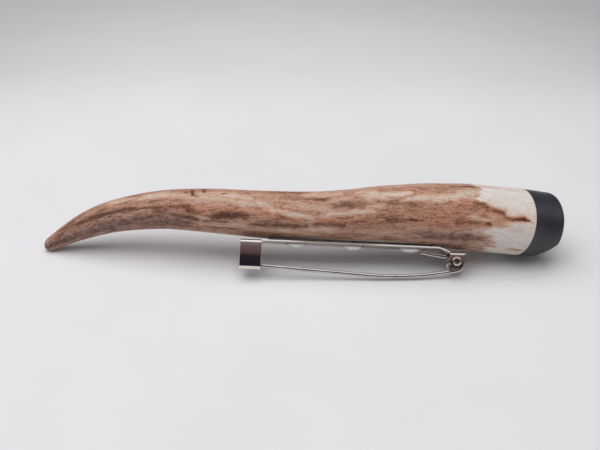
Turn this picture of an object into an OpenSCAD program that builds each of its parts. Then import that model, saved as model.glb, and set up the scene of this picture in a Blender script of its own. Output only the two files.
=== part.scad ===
// Kilt pin: a curved antler tine with a horn cap on its sawn end, and a stamped
// bar brooch fitting glued to its underside. The fitting has three glue holes,
// a hinge with a hollow rivet, a sprung wire pin and a hooked catch.
// Everything is drawn in the bar's own frame: X runs along the bar towards the
// cap, the bar's glued face lies at Z = 0 and the wire pin is below it.
// Then the whole pin is laid down on its tip, its cap and its hinge.

/* [Antler tine] */
// Length along the bar from the tip to the sawn face
tine_len = 97.3; // [88:0.2:108]
// Diameter at the sawn face
butt_d = 13.7; // [12.8:0.1:14.8]
// Height of the arch of the underside between the tip and the bar
arch_h = 1.6; // [0.8:0.1:2.6]
// Sideways bow of the tip away from the line of the bar
bow_w = 7.4; // [5:0.1:10]
// Overhang of the sawn face's centre beyond the end of the bar
butt_over = 10.95; // [10:0.05:12]
// Turn of the sawn face away from square
cut_turn = 20; // [10:1:30]
// Ovalness of the tine, as a share of its radius
oval = 0.025; // [0:0.005:0.04]
// Three-sided swelling of the tine, as a share of its radius
swell = 0.015; // [0:0.005:0.03]

/* [End cap] */
// Thickness of the horn cap
cap_t = 7.5; // [4:0.1:9]
// Diameter lost from the joint to the outer end
cap_taper = 0.4; // [0.2:0.1:1.2]
// Radius of the eased outer edge
cap_edge_r = 1; // [0.5:0.1:2]
// Rise of the domed outer face
cap_dome = 0.35; // [0.1:0.05:0.8]
// Radius to which the underside of the outer end is worn round
cap_worn_r = 13; // [12:0.5:20]

/* [Bar] */
// Overall length of the bar
bar_len = 44.7; // [41:0.5:49]
// Width of the bar
bar_w = 5; // [4.6:0.1:5.6]
// Thickness of the sheet
sheet_t = 0.45; // [0.35:0.05:0.5]
// Outer radius of the folds in the sheet
fold_r = 0.65; // [0.55:0.05:0.8]
// Diameter of the glue holes
hole_d = 2.4; // [1.8:0.1:3]
// Distance from each end of the bar to the nearest glue hole
hole_in = 10.95; // [10.9:0.05:12.5]

/* [Catch] */
// Width of the hooked strip
catch_w = 4.2; // [3.6:0.05:5]
// Depth from the glued face to the bottom of the hook
catch_depth = 6.1; // [5.6:0.1:6.6]
// Outer radius of the hook
hook_r = 1.1; // [1:0.05:1.3]
// Sweep of the hook from the strip round to its lip
hook_sweep = 205; // [180:5:225]

/* [Hinge] */
// Drop of the hinge seat below the bar
seat_drop = 0.78; // [0.74:0.01:1.2]
// Length of the sloping jog
jog_len = 2.1; // [1.8:0.1:2.6]
// Width of each ear
ear_w = 2.85; // [2.4:0.1:3.2]
// Length of the seat beyond the ears
seat_lip = 0.4; // [0.2:0.1:0.8]
// Depth of the rivet below the underside of the seat
rivet_drop = 1.48; // [1.46:0.02:1.8]
// Outer diameter of the rivet's shank
rivet_d = 0.92; // [0.84:0.02:0.94]
// Bore of the hollow rivet
rivet_bore = 0.62; // [0.5:0.02:0.66]
// Diameter of the flared mouths at the two ends of the bore
mouth_d = 1.08; // [0.9:0.02:1.2]
// Outer diameter of the rolled rims
rim_d = 1.84; // [1.6:0.02:2]

/* [Wire pin] */
// Diameter of the wire
wire_d = 0.88; // [0.76:0.02:0.88]
// Bore of the coil, which hangs loosely on the rivet
coil_bore = 1.8; // [1.6:0.05:2]
// Radius of the long bow in the wire
bow_r = 68; // [60:1:80]
// Slope of the wire where it leaves the coil
leave_slope = 13; // [12:0.5:15]
// Distance from the bar's end to the point of the pin
point_in = 1.1; // [0.6:0.1:1.8]
// Length of the sharpened point
point_len = 3.5; // [2:0.5:6]
// Reach of the spring tail from the coil to its free end under the bar
tail_len = 6.8; // [5.4:0.2:7]
// Slope of the tail where it leaves the coil
tail_slope = 1; // [0:0.5:2]

/* [Glue] */
// Thickness of the glue line between the bar and the tine
glue_t = 0.5; // [0.4:0.05:0.7]
// Depth of the flat filed along the underside of the tine
flat_depth = 0.35; // [0.25:0.05:0.5]
// Width of the glue line
glue_w = 3; // [2.4:0.1:3.4]
// Diameter of the glue beads that came through the holes
bead_d = 4.4; // [3.6:0.1:4.6]
// Height of the glue beads
bead_h = 0.75; // [0.4:0.05:0.9]

/* [Clearances] */
// Gap between faces that are glued or pressed together
joint_gap = 0.02; // [0.01:0.01:0.04]
// Gap between the pin and the bottom of the hook that it rests in
catch_gap = 0.05; // [0.02:0.01:0.1]
// Running clearance between the top of the rivet and the coil that hangs on it
coil_gap = 0.04; // [0.03:0.01:0.06]
// Gap between the free end of the tail and the bar that it is sprung against
tail_gap = 0.04; // [0.02:0.01:0.1]
// Gap between neighbouring turns of the coil
turn_gap = 0.06; // [0.04:0.01:0.1]

/* [Resting pose] */
// Roll of the bar towards the front
rest_roll = 38.5; // [34:0.5:43]
// Pitch of the bar, hinge end down
rest_pitch = 2.5; // [1:0.1:4]

/* [Hidden] */
$fn = 64;
// Each glue hole has a bead node of its own
hole_count = 3;

// Sections of the tine from the tip to the sawn face.
// along: share of tine_len; girth: share of the butt's radius; lift: rise of the
// underside above the filed seat, share of arch_h; bow: share of bow_w
ALONG = 0;
GIRTH = 1;
LIFT = 2;
BOW = 3;
SECTIONS = [
    [0.000, 0.195, -2.65, 1.05],
    [0.019, 0.236, -2.14, 1.00],
    [0.046, 0.310, -1.50, 0.92],
    [0.074, 0.382, -0.92, 0.835],
    [0.115, 0.463, -0.21, 0.725],
    [0.154, 0.509, 0.30, 0.625],
    [0.207, 0.562, 0.68, 0.510],
    [0.259, 0.602, 0.87, 0.400],
    [0.297, 0.635, 0.81, 0.330],
    [0.338, 0.665, 0.66, 0.262],
    [0.378, 0.687, 0.51, 0.205],
    [0.468, 0.715, 0.18, 0.100],
    [0.582, 0.752, 0.00, 0.034],
    [0.656, 0.807, 0.00, 0.010],
    [0.712, 0.868, 0.00, 0.000],
    [0.796, 0.929, 0.00, 0.002],
    [0.848, 0.949, 0.00, 0.035],
    [0.892, 0.963, -0.02, 0.090],
    [0.959, 0.986, -0.30, 0.208],
    [1.000, 1.000, -0.44, 0.292]
];
tine_rings = 74;
tine_sides = 36;
// Directions of the ovalness and of the swelling, and their turn over the length
oval_from = 60;
oval_twist = 240;
swell_twist = 300;
// The last few rings turn from square across the tine to the sawn face
turn_start = 0.88;
// Rounding of the tip, as a share of tine_len, and the rings that it takes
tip_share = 0.016;
tip_rings = 6;
// The swellings fade out before the sawn face, where cap and tine are turned round
fade_start = 0.86;

butt_r = butt_d / 2;
butt_x = bar_len / 2 + butt_over;
tip_x = butt_x - tine_len;
seat_z = glue_t - flat_depth;
bar_end = bar_len / 2;
catch_end = -bar_end + catch_w;
wire_r = wire_d / 2;
hole_pitch = (bar_len - 2 * hole_in) / (hole_count - 1);
hole_xs = [for (i = [0:hole_count - 1]) -bar_end + hole_in + i * hole_pitch];

// Hinge: the ears stand at the bar's end, short of the seat's lip
ear_x = bar_end - seat_lip - ear_w / 2;
seat_x = ear_x - ear_w / 2;
jog_x = seat_x - jog_len;
seat_under = -seat_drop - sheet_t;
rivet_z = seat_under - rivet_drop;
coil_r = coil_bore / 2 + wire_r;
coil_z = rivet_z - (coil_bore - rivet_d) / 2 + coil_gap;
coil_pitch = wire_d + turn_gap;

// Catch: the hook's centre, and the pin's turn that brings it there
hook_y = -bar_w / 2 + hook_r;
hook_z = -catch_depth + hook_r;
catch_mid = -bar_end + catch_w / 2;
pin_turn = atan((-hook_y - coil_pitch / 2) / (ear_x - catch_mid));

// Small helpers
function blend(a, b, t) = a + (b - a) * t;
function clamp01(t) = min(1, max(0, t));
function ease(t) = let(c = clamp01(t)) c * c * (3 - 2 * c);

// A smooth value from one column of SECTIONS at a share s of the length
function row_of(s) = max([for (i = [0:len(SECTIONS) - 2]) if (SECTIONS[i][ALONG] <= s) i]);
function slope_at(i, col) =
    let(a = max(i - 1, 0), b = min(i + 1, len(SECTIONS) - 1))
    (SECTIONS[b][col] - SECTIONS[a][col]) / (SECTIONS[b][ALONG] - SECTIONS[a][ALONG]);
function column(col, s) =
    let(
        i = row_of(s),
        span = SECTIONS[i + 1][ALONG] - SECTIONS[i][ALONG],
        t = (s - SECTIONS[i][ALONG]) / span,
        p = SECTIONS[i][col],
        q = SECTIONS[i + 1][col],
        m = slope_at(i, col) * span,
        n = slope_at(i + 1, col) * span
    )
    p * (1 + 2 * t) * pow(1 - t, 2) + m * t * pow(1 - t, 2)
    + q * t * t * (3 - 2 * t) + n * t * t * (t - 1);

// The tine's radius and centre line
function tip_rounding(s) = s >= tip_share ? 1 : sqrt(1 - pow(1 - s / tip_share, 2));
function full_radius(s) = butt_r * column(GIRTH, s);
function tine_centre(s) = [
    tip_x + tine_len * s,
    bow_w * column(BOW, s),
    seat_z + arch_h * column(LIFT, s) + full_radius(s)
];

// Heading of the tine: its turn about Z and its climb, eased into the sawn face
function heading(s) =
    let(
        step = 0.004,
        d = tine_centre(min(1, s + step)) - tine_centre(max(0, s - step)),
        w = ease((s - turn_start) / (1 - turn_start))
    )
    [
        blend(atan2(d.y, d.x), cut_turn, w),
        blend(atan2(d.z, norm([d.x, d.y])), 0, w)
    ];

// Share of the length for each ring: close together round the tip
function ring_share(i) =
    i <= tip_rings
        ? tip_share * (1 - cos(90 * i / tip_rings))
        : blend(tip_share, 1, (i - tip_rings) / (tine_rings - tip_rings));

function ring_swell(s, a) =
    1 + (1 - ease((s - fade_start) / (1 - fade_start)))
    * (oval * cos(2 * a - oval_from + oval_twist * s) + swell * cos(3 * a + swell_twist * s));

// The filed flat runs along the bar as far as the jog and slopes out at both ends
flat_run_out = 9;
function filed(p) =
    let(beyond = max(0, p.x - jog_x, -bar_end - p.x))
    [p.x, p.y, max(p.z, glue_t - beyond * tan(flat_run_out))];

function ring_points(s) =
    let(
        c = tine_centre(s),
        h = heading(s),
        side = [-sin(h[0]), cos(h[0]), 0],
        up = [-sin(h[1]) * cos(h[0]), -sin(h[1]) * sin(h[0]), cos(h[1])],
        r = full_radius(s) * tip_rounding(s)
    )
    [
        for (k = [0:tine_sides - 1])
            let(a = 360 * k / tine_sides)
            filed(c + r * ring_swell(s, a) * (cos(a) * side + sin(a) * up))
    ];

tine_points = concat(
    [tine_centre(0)],
    [for (i = [1:tine_rings], p = ring_points(ring_share(i))) p],
    [tine_centre(1)]
);

// Point number k of ring i, counted round past the last side
function ring_at(i, k) = 1 + (i - 1) * tine_sides + k % tine_sides;
last_point = len(tine_points) - 1;
tine_faces = concat(
    [for (k = [0:tine_sides - 1]) [0, ring_at(1, k), ring_at(1, k + 1)]],
    [
        for (i = [1:tine_rings - 1], k = [0:tine_sides - 1])
            [ring_at(i, k), ring_at(i + 1, k), ring_at(i + 1, k + 1)]
    ],
    [
        for (i = [1:tine_rings - 1], k = [0:tine_sides - 1])
            [ring_at(i, k), ring_at(i + 1, k + 1), ring_at(i, k + 1)]
    ],
    [
        for (k = [0:tine_sides - 1])
            [last_point, ring_at(tine_rings, k + 1), ring_at(tine_rings, k)]
    ]
);

// Lying down: the frame's directions after the roll and the pitch
function laid(p) =
    let(
        x = p.x * cos(rest_pitch) + p.z * sin(rest_pitch),
        z = p.z * cos(rest_pitch) - p.x * sin(rest_pitch)
    )
    [x, p.y * cos(rest_roll) + z * sin(rest_roll), z * cos(rest_roll) - p.y * sin(rest_roll)];

// Points on the cap's outer edge, on the ears and on the hook, which with the tine's
// own points give the room that the laid pin takes
cap_normal = [cos(cut_turn), sin(cut_turn), 0];
cap_side = [-sin(cut_turn), cos(cut_turn), 0];
cap_centre = tine_centre(1) + joint_gap * cap_normal;
cap_end_r = butt_r - cap_taper / 2;
// The worn underside is a ball that meets the cap's side at a share of its length
cap_worn_share = 0.5;
cap_worn_up = sqrt(pow(cap_worn_r, 2) - pow(cap_worn_share * cap_t, 2)) - butt_r;
reach_steps = 96;
side_steps = 24;
edge_steps = 8;
cap_side_t = cap_t - cap_dome - cap_edge_r;
cap_side_line = [
    for (i = [0:side_steps])
        [blend(butt_r, cap_end_r, i / side_steps), cap_side_t * i / side_steps]
];
cap_edge_line = [
    for (i = [0:edge_steps])
        let(a = 90 * i / edge_steps)
        [cap_end_r - cap_edge_r * (1 - cos(a)), cap_side_t + cap_edge_r * sin(a)]
];
cap_reach = [
    for (k = [0:reach_steps - 1], p = concat(cap_side_line, cap_edge_line))
        let(a = 360 * k / reach_steps)
        if (norm([p.y, p.x * cos(a), p.x * sin(a) - cap_worn_up]) <= cap_worn_r)
            laid(cap_centre + p.y * cap_normal + p.x * (cos(a) * cap_side + [0, 0, sin(a)])),
    laid(cap_centre + cap_t * cap_normal)
];
ear_reach = [
    for (a = [180:10:360], y = [-bar_w / 2, bar_w / 2])
        laid([ear_x + ear_w / 2 * cos(a), y, rivet_z + ear_w / 2 * sin(a)])
];
hook_reach = [
    for (a = [180:10:360], x = [-bar_end, catch_end])
        laid([x, hook_y + hook_r * cos(a), hook_z + hook_r * sin(a)])
];
reach = concat([for (p = tine_points) laid(p)], cap_reach, ear_reach, hook_reach);
function low(axis) = min([for (p = reach) p[axis]]);
function high(axis) = max([for (p = reach) p[axis]]);
rest_shift = [-(low(0) + high(0)) / 2, -(low(1) + high(1)) / 2, -low(2)];

module at_rest() {
    translate(rest_shift)
        rotate([-rest_roll, 0, 0])
            rotate([0, rest_pitch, 0])
                children();
}

// Outline of a bent sheet: a path of [across, up, heading] thickened both ways
function sheet_outline(path, t) = concat(
    [for (p = path) [p[0] - t / 2 * sin(p[2]), p[1] + t / 2 * cos(p[2])]],
    [
        for (i = [len(path) - 1:-1:0])
            let(p = path[i])
            [p[0] + t / 2 * sin(p[2]), p[1] - t / 2 * cos(p[2])]
    ]
);
// A stretch of path round a centre; turning clockwise when b is below a
function arc_path(centre, r, a, b, steps) = [
    for (i = [0:steps])
        let(v = blend(a, b, i / steps))
        [centre[0] + r * cos(v), centre[1] + r * sin(v), v + (b > a ? 90 : -90)]
];

// A section in the YZ plane drawn along X, from x0 over a length
module along_x(x0, length) {
    translate([x0, 0, 0])
        rotate([90, 0, 90])
            linear_extrude(height = length)
                children();
}

// A side outline in the XZ plane drawn across the bar
module across_bar(width) {
    translate([0, width / 2, 0])
        rotate([90, 0, 0])
            linear_extrude(height = width)
                children();
}

// Overshoot of the shapes that cut holes and sides
cut_over = 1;
// Middle line of the sheet in the bends
fold_mid_r = fold_r - sheet_t / 2;
sheet_mid = -sheet_t / 2;

// Long flat of the bar with the jog down to the hinge seat: two equal arcs
jog_angle = 2 * atan(seat_drop / jog_len);
jog_r = jog_len / (2 * sin(jog_angle));
bar_path = concat(
    [[catch_end, sheet_mid, 0]],
    arc_path([jog_x, sheet_mid - jog_r], jog_r, 90, 90 - jog_angle, 6),
    arc_path([seat_x, sheet_mid - seat_drop + jog_r], jog_r, 270 - jog_angle, 270, 6)
);

// The catch's section: bar, fold, strip and hook
hook_mid_r = hook_r - sheet_t / 2;
catch_path = concat(
    [[bar_w / 2, sheet_mid, 180]],
    arc_path([-bar_w / 2 + fold_r, -fold_r], fold_mid_r, 90, 180, 6),
    arc_path([hook_y, hook_z], hook_mid_r, 180, 180 + hook_sweep, 18)
);

// The hinge's section: two ears folded down from the seat
hinge_path = concat(
    [[-bar_w / 2 + sheet_t / 2, rivet_z - ear_w, 90]],
    arc_path([-bar_w / 2 + fold_r, -seat_drop - fold_r], fold_mid_r, 180, 90, 6),
    arc_path([bar_w / 2 - fold_r, -seat_drop - fold_r], fold_mid_r, 90, 0, 6),
    [[bar_w / 2 - sheet_t / 2, rivet_z - ear_w, -90]]
);

module bar_flat() {
    difference() {
        across_bar(bar_w)
            polygon(sheet_outline(bar_path, sheet_t));
        for (x = hole_xs)
            translate([x, 0, -sheet_t - cut_over])
                cylinder(h = sheet_t + 2 * cut_over, d = hole_d);
    }
}

module catch_strip() {
    along_x(-bar_end, catch_w)
        polygon(sheet_outline(catch_path, sheet_t));
}

// Side view of the hinge: the seat's slab over two round-ended ears
module hinge_side() {
    translate([seat_x, seat_under])
        square([ear_w + seat_lip, sheet_t]);
    translate([ear_x - ear_w / 2, rivet_z])
        square([ear_w, seat_under - rivet_z + sheet_t / 2]);
    translate([ear_x, rivet_z])
        circle(d = ear_w);
}

module hinge_ears() {
    difference() {
        intersection() {
            along_x(seat_x, ear_w + seat_lip)
                polygon(sheet_outline(hinge_path, sheet_t));
            across_bar(bar_w + 2 * cut_over)
                hinge_side();
        }
        translate([ear_x, 0, rivet_z])
            rotate([90, 0, 0])
                cylinder(h = bar_w + 2 * cut_over, d = rivet_d + 2 * joint_gap, center = true);
    }
}

module back_bar() {
    color([0.78, 0.78, 0.80])
        at_rest()
            union() {
                bar_flat();
                catch_strip();
                hinge_ears();
            }
}

// Section of the rivet: tube wall, and a rim rolled over each ear round a flared mouth
rim_roll_r = (rim_d - mouth_d) / 4;
rim_y = bar_w / 2 + joint_gap;
rim_section = concat(
    [[rivet_d / 2, rim_y]],
    [
        for (a = [0:15:120])
            [rim_d / 2 - rim_roll_r * (1 - cos(a)), rim_y + rim_roll_r * sin(a)]
    ],
    [[rivet_bore / 2, rim_y]]
);
rim_last = len(rim_section) - 1;
rivet_section = concat(
    rim_section,
    [for (i = [rim_last:-1:0]) [rim_section[i].x, -rim_section[i].y]]
);

module hinge_rivet() {
    color([0.84, 0.84, 0.85])
        at_rest()
            translate([ear_x, 0, rivet_z])
                rotate([90, 0, 0])
                    rotate_extrude()
                        polygon(rivet_section);
}

// Wire bent round the origin in the XZ plane, from angle a on over a sweep
module wire_arc(r, a, sweep) {
    rotate([90, 0, 0])
        rotate([0, 0, a])
            rotate_extrude(angle = sweep, $fn = 48)
                translate([r, 0])
                    circle(r = wire_r, $fn = 32);
}

// Angles on the coil where the pin and the tail leave it
leave_a = -90 + leave_slope;
tail_a = 90 - tail_slope;
// Centre of the pin's long bow
bow_c = (coil_r - bow_r) * [cos(leave_a), sin(leave_a)];
// Where the pin enters the hook, seen from the coil, and the way there from the bow
hook_in = [catch_end - ear_x, -catch_depth + sheet_t + catch_gap + wire_r - coil_z];
hook_way = hook_in - bow_c;
// The bow ends where a straight through that point touches it
bow_end_a = atan2(hook_way.y, hook_way.x) + acos(bow_r / norm(hook_way));
rise_slope = -90 - bow_end_a;
straight_x = bow_c.x + bow_r * cos(bow_end_a);
straight_z = bow_c.y + bow_r * sin(bow_end_a);
// The straight runs on to the point, which lies point_in short of the bar's end
straight_len = (straight_x + ear_x + bar_end - point_in) / cos(rise_slope);
// Radius of the blunted tip of the point
point_r = 0.08;
// The wire is set up a trace thicker at each bend
bend_ball_r = wire_r + 0.01;
// The tail is one arc that rises until its free end meets the bar's underside
tail_rise = -sheet_t - tail_gap - wire_r - coil_z - coil_r * sin(tail_a);
tail_sweep = 2 * (asin(tail_rise / tail_len) - tail_slope);
tail_r = tail_len / (2 * sin(tail_sweep / 2));

// A trace of thickening where one bend meets the next, at an angle on an arc.
// The ball's axis is turned to lie along the wire.
module bend_ball(r, a) {
    translate([r * cos(a), 0, r * sin(a)])
        rotate([0, -a, 0])
            sphere(r = bend_ball_r, $fn = 32);
}

module pin_stem() {
    wire_arc(coil_r, leave_a, 90 - leave_a);
    bend_ball(coil_r, leave_a);
    translate([bow_c.x, 0, bow_c.y]) {
        wire_arc(bow_r, bow_end_a, leave_a - bow_end_a);
        bend_ball(bow_r, bow_end_a);
    }
    translate([straight_x, 0, straight_z])
        rotate([0, -90 + rise_slope, 0])
            rotate_extrude($fn = 32)
                polygon([
                    [0, 0],
                    [wire_r, 0],
                    [wire_r, straight_len - point_len],
                    [point_r, straight_len],
                    [0, straight_len]
                ]);
}

// Half turn that crosses over from the pin's turn to the tail's turn
module coil_crossing() {
    lean = atan(coil_pitch / 2 / coil_r);
    rotate([lean, 0, 0]) {
        wire_arc(coil_r / cos(lean), 90, 180);
        bend_ball(coil_r / cos(lean), 90);
        bend_ball(coil_r / cos(lean), 270);
    }
}

module spring_tail() {
    wire_arc(coil_r, -90, tail_a + 90);
    bend_ball(coil_r, tail_a);
    translate([(coil_r + tail_r) * cos(tail_a), 0, (coil_r + tail_r) * sin(tail_a)])
        wire_arc(tail_r, 180 + tail_a - tail_sweep, tail_sweep);
}

module pin_wire() {
    color([0.74, 0.74, 0.76])
        at_rest()
            translate([ear_x, 0, coil_z])
                rotate([0, 0, pin_turn])
                    union() {
                        translate([0, -coil_pitch / 2, 0])
                            pin_stem();
                        coil_crossing();
                        translate([0, coil_pitch / 2, 0])
                            spring_tail();
                    }
}

module antler_tine() {
    color([0.60, 0.47, 0.38])
        at_rest()
            polyhedron(points = tine_points, faces = tine_faces, convexity = 4);
}

// Half section of the cap: joint face, tapered side, eased edge and domed end
dome_steps = 6;
cap_outline = concat(
    [[0, 0], [butt_r, 0]],
    cap_edge_line,
    [
        for (i = [1:dome_steps])
            let(a = 90 * i / dome_steps)
            [
                (cap_end_r - cap_edge_r) * (1 - i / dome_steps),
                cap_t - cap_dome + cap_dome * sin(a)
            ]
    ]
);

module end_cap() {
    color([0.16, 0.16, 0.18])
        at_rest()
            translate(cap_centre)
                rotate([0, 0, cut_turn])
                    intersection() {
                        rotate([0, 90, 0])
                            rotate_extrude()
                                polygon(cap_outline);
                        translate([0, 0, cap_worn_up])
                            sphere(r = cap_worn_r, $fn = 128);
                    }
}

// The glue line stops short of the catch's fold and of the jog
glue_margin = 1.2;
module glue_bed() {
    color([0.72, 0.72, 0.66])
        at_rest()
            translate([catch_end + glue_margin, -glue_w / 2, joint_gap])
                cube([jog_x - catch_end - 2 * glue_margin, glue_w, glue_t - 2 * joint_gap]);
}

// One bead: a stem through its hole and a dome on the bar's underside
bead_ball_r = (pow(bead_d / 2, 2) + pow(bead_h, 2)) / (2 * bead_h);
module glue_bead(i) {
    color([0.80, 0.80, 0.76])
        at_rest()
            translate([hole_xs[i], 0, -sheet_t - joint_gap], $fn = 96) {
                translate([0, 0, -joint_gap])
                    cylinder(h = sheet_t + 2 * joint_gap, d = hole_d - 2 * joint_gap);
                intersection() {
                    translate([0, 0, bead_ball_r - bead_h])
                        sphere(r = bead_ball_r);
                    translate([0, 0, -bead_h])
                        cylinder(h = bead_h, d = bead_d + cut_over);
                }
            }
}

antler_tine();
end_cap();
glue_bed();
glue_bead(0);  // glue_bead_1
glue_bead(1);  // glue_bead_2
glue_bead(2);  // glue_bead_3
back_bar();
hinge_rivet();
pin_wire();
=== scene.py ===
"""Kilt pin: looks of the antler tine, horn cap, nickel fitting, rivet, wire pin and glue.

Sizes are in millimetres until a mesh is made, in the bar's own frame: X runs along the
bar towards the cap, the bar's glued face lies at z = 0 and the wire pin is below it.
laid_down() then turns a piece into the resting pose of the frame.
"""

import math

import bmesh
import bpy
import numpy as np
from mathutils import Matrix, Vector


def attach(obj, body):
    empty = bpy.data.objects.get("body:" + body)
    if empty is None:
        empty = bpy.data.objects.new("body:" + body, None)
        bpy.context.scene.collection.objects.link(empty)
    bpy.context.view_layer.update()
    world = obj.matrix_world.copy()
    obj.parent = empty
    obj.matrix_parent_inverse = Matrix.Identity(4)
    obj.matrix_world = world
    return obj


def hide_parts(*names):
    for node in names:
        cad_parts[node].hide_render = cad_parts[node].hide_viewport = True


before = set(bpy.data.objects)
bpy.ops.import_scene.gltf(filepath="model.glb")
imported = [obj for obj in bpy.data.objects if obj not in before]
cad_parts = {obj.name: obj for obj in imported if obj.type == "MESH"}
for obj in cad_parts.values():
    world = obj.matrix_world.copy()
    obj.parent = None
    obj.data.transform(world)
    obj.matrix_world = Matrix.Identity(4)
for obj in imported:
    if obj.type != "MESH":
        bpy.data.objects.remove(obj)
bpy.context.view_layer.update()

MM = 0.001
# The dressed skins lie this far inside the solids, in mm
SKIN_IN, WIRE_IN, STEM_IN = 0.03, 0.004, 0.01

# Sizes that the solids have too
TINE_LEN, BUTT_R, ARCH_H, BOW_W, BUTT_OVER, CUT_TURN = 97.3, 6.85, 1.6, 7.4, 10.95, 20.0
OVAL, SWELL, OVAL_FROM, OVAL_TWIST, SWELL_TWIST = 0.025, 0.015, 60.0, 240.0, 300.0
TURN_START, FADE_START, TIP_SHARE, FLAT_SLOPE = 0.88, 0.86, 0.016, 9.0
CAP_T, CAP_TAPER, CAP_EDGE_R, CAP_DOME = 7.5, 0.4, 1.0, 0.35
CAP_WORN_R, CAP_WORN_SHARE = 13.0, 0.5
BAR_LEN, BAR_W, SHEET_T, HOLE_D, HOLE_IN = 44.7, 5.0, 0.45, 2.4, 10.95
EDGE_ROUND = 0.15
GLUE_T, FLAT_DEPTH, BEAD_D, BEAD_H = 0.5, 0.35, 4.4, 0.75
CATCH_W, CATCH_DEPTH, HOOK_R = 4.2, 6.1, 1.1
SEAT_DROP, JOG_LEN, EAR_W, SEAT_LIP, RIVET_DROP = 0.78, 2.1, 2.85, 0.4, 1.48
RIVET_D, RIVET_BORE, MOUTH_D, RIM_D = 0.92, 0.62, 1.08, 1.84
WIRE_D, COIL_BORE, BOW_R, LEAVE_SLOPE, POINT_IN, POINT_LEN = 0.88, 1.8, 68.0, 13.0, 1.1, 3.5
TAIL_LEN, TAIL_SLOPE, POINT_R, POINT_BLUNT = 6.8, 1.0, 0.08, 0.05
JOINT_GAP, CATCH_GAP, COIL_GAP, TAIL_GAP, TURN_GAP = 0.02, 0.05, 0.04, 0.04, 0.06
REST_ROLL, REST_PITCH = 38.5, 2.5
REST_SHIFT = np.array([10.9497, -3.79492, 5.48995])

BAR_END = BAR_LEN / 2
BUTT_X = BAR_END + BUTT_OVER
TIP_X = BUTT_X - TINE_LEN
SEAT_Z = GLUE_T - FLAT_DEPTH
CATCH_END = -BAR_END + CATCH_W
WIRE_R = WIRE_D / 2
EAR_X = BAR_END - SEAT_LIP - EAR_W / 2
JOG_X = EAR_X - EAR_W / 2 - JOG_LEN
RIVET_Z = -SEAT_DROP - SHEET_T - RIVET_DROP
COIL_R = COIL_BORE / 2 + WIRE_R
COIL_Z = RIVET_Z - (COIL_BORE - RIVET_D) / 2 + COIL_GAP
COIL_PITCH = WIRE_D + TURN_GAP

# Rows of the tine's sections: share of its length, girth, lift of the underside, bow
SECTIONS = np.array([
    [0.000, 0.195, -2.65, 1.05], [0.019, 0.236, -2.14, 1.00], [0.046, 0.310, -1.50, 0.92],
    [0.074, 0.382, -0.92, 0.835], [0.115, 0.463, -0.21, 0.725], [0.154, 0.509, 0.30, 0.625],
    [0.207, 0.562, 0.68, 0.510], [0.259, 0.602, 0.87, 0.400], [0.297, 0.635, 0.81, 0.330],
    [0.338, 0.665, 0.66, 0.262], [0.378, 0.687, 0.51, 0.205], [0.468, 0.715, 0.18, 0.100],
    [0.582, 0.752, 0.00, 0.034], [0.656, 0.807, 0.00, 0.010], [0.712, 0.868, 0.00, 0.000],
    [0.796, 0.929, 0.00, 0.002], [0.848, 0.949, 0.00, 0.035], [0.892, 0.963, -0.02, 0.090],
    [0.959, 0.986, -0.30, 0.208], [1.000, 1.000, -0.44, 0.292],
])


# Small mathematics

def ease(t):
    """Smooth step: 3t^2 - 2t^3 on t held between 0 and 1."""
    t = np.clip(t, 0, 1)
    return t * t * (3 - 2 * t)


def turn(points, axis, degrees):
    """Points turned about a coordinate axis by the right-hand rule."""
    c, s = math.cos(math.radians(degrees)), math.sin(math.radians(degrees))
    matrix = {
        "x": [[1, 0, 0], [0, c, -s], [0, s, c]],
        "y": [[c, 0, s], [0, 1, 0], [-s, 0, c]],
        "z": [[c, -s, 0], [s, c, 0], [0, 0, 1]],
    }[axis]
    return np.asarray(points) @ np.array(matrix).T


def laid_down(points):
    """The resting pose: pitch about Y, roll about X, then a shift onto the floor."""
    return turn(turn(points, "y", REST_PITCH), "x", -REST_ROLL) + REST_SHIFT


def lattice_noise(x, y, around, seed):
    """Smooth noise in -1..1: random values on whole numbers of x and y, blended between
    them with 6t^5 - 15t^4 + 10t^3; y repeats after `around` steps."""
    rows = int(np.ceil(x.max() - x.min())) + 3
    table = np.random.default_rng(seed).uniform(-1, 1, (rows, around))
    x = x - np.floor(x.min())
    ix, iy = np.floor(x).astype(int), np.floor(y).astype(int)
    fx, fy = x - ix, y - iy
    fx = fx ** 3 * (fx * (6 * fx - 15) + 10)
    fy = fy ** 3 * (fy * (6 * fy - 15) + 10)
    a, b = iy % around, (iy + 1) % around
    low = table[ix, a] * (1 - fy) + table[ix, b] * fy
    high = table[ix + 1, a] * (1 - fy) + table[ix + 1, b] * fy
    return low * (1 - fx) + high * fx


def streaks(along, across, length, count, seed, layers=3):
    """Sum of noise layers drawn out along the tine: each layer has twice the detail and
    half the height of the last, and the whole is scaled to about -1..1. length is that of
    the largest cell in mm, count the number of such cells round the tine."""
    total, height = 0, 1.0
    for k in range(layers):
        n = count * 2 ** k
        total = total + height * lattice_noise(
            along / length * 2 ** k, (across + 180) / 360 * n, n, seed + k)
        height *= 0.5
    return total / 1.6


# Meshes

def make_piece(name, vertices, faces, body, nodes, material, smooth_angle=None):
    """Puts vertices in mm and faces into a mesh that rides on a body for its nodes."""
    mesh = bpy.data.meshes.new(name)
    mesh.from_pydata((np.asarray(vertices) * MM).tolist(), [], faces)
    mesh.validate()
    mesh.polygons.foreach_set("use_smooth", np.ones(len(mesh.polygons), bool))
    piece = bpy.data.objects.new(name, mesh)
    bpy.context.scene.collection.objects.link(piece)
    if smooth_angle is not None:
        mesh.set_sharp_from_angle(angle=math.radians(smooth_angle))
    mesh.materials.append(material)
    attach(piece, body)
    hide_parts(*nodes)
    return piece


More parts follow.
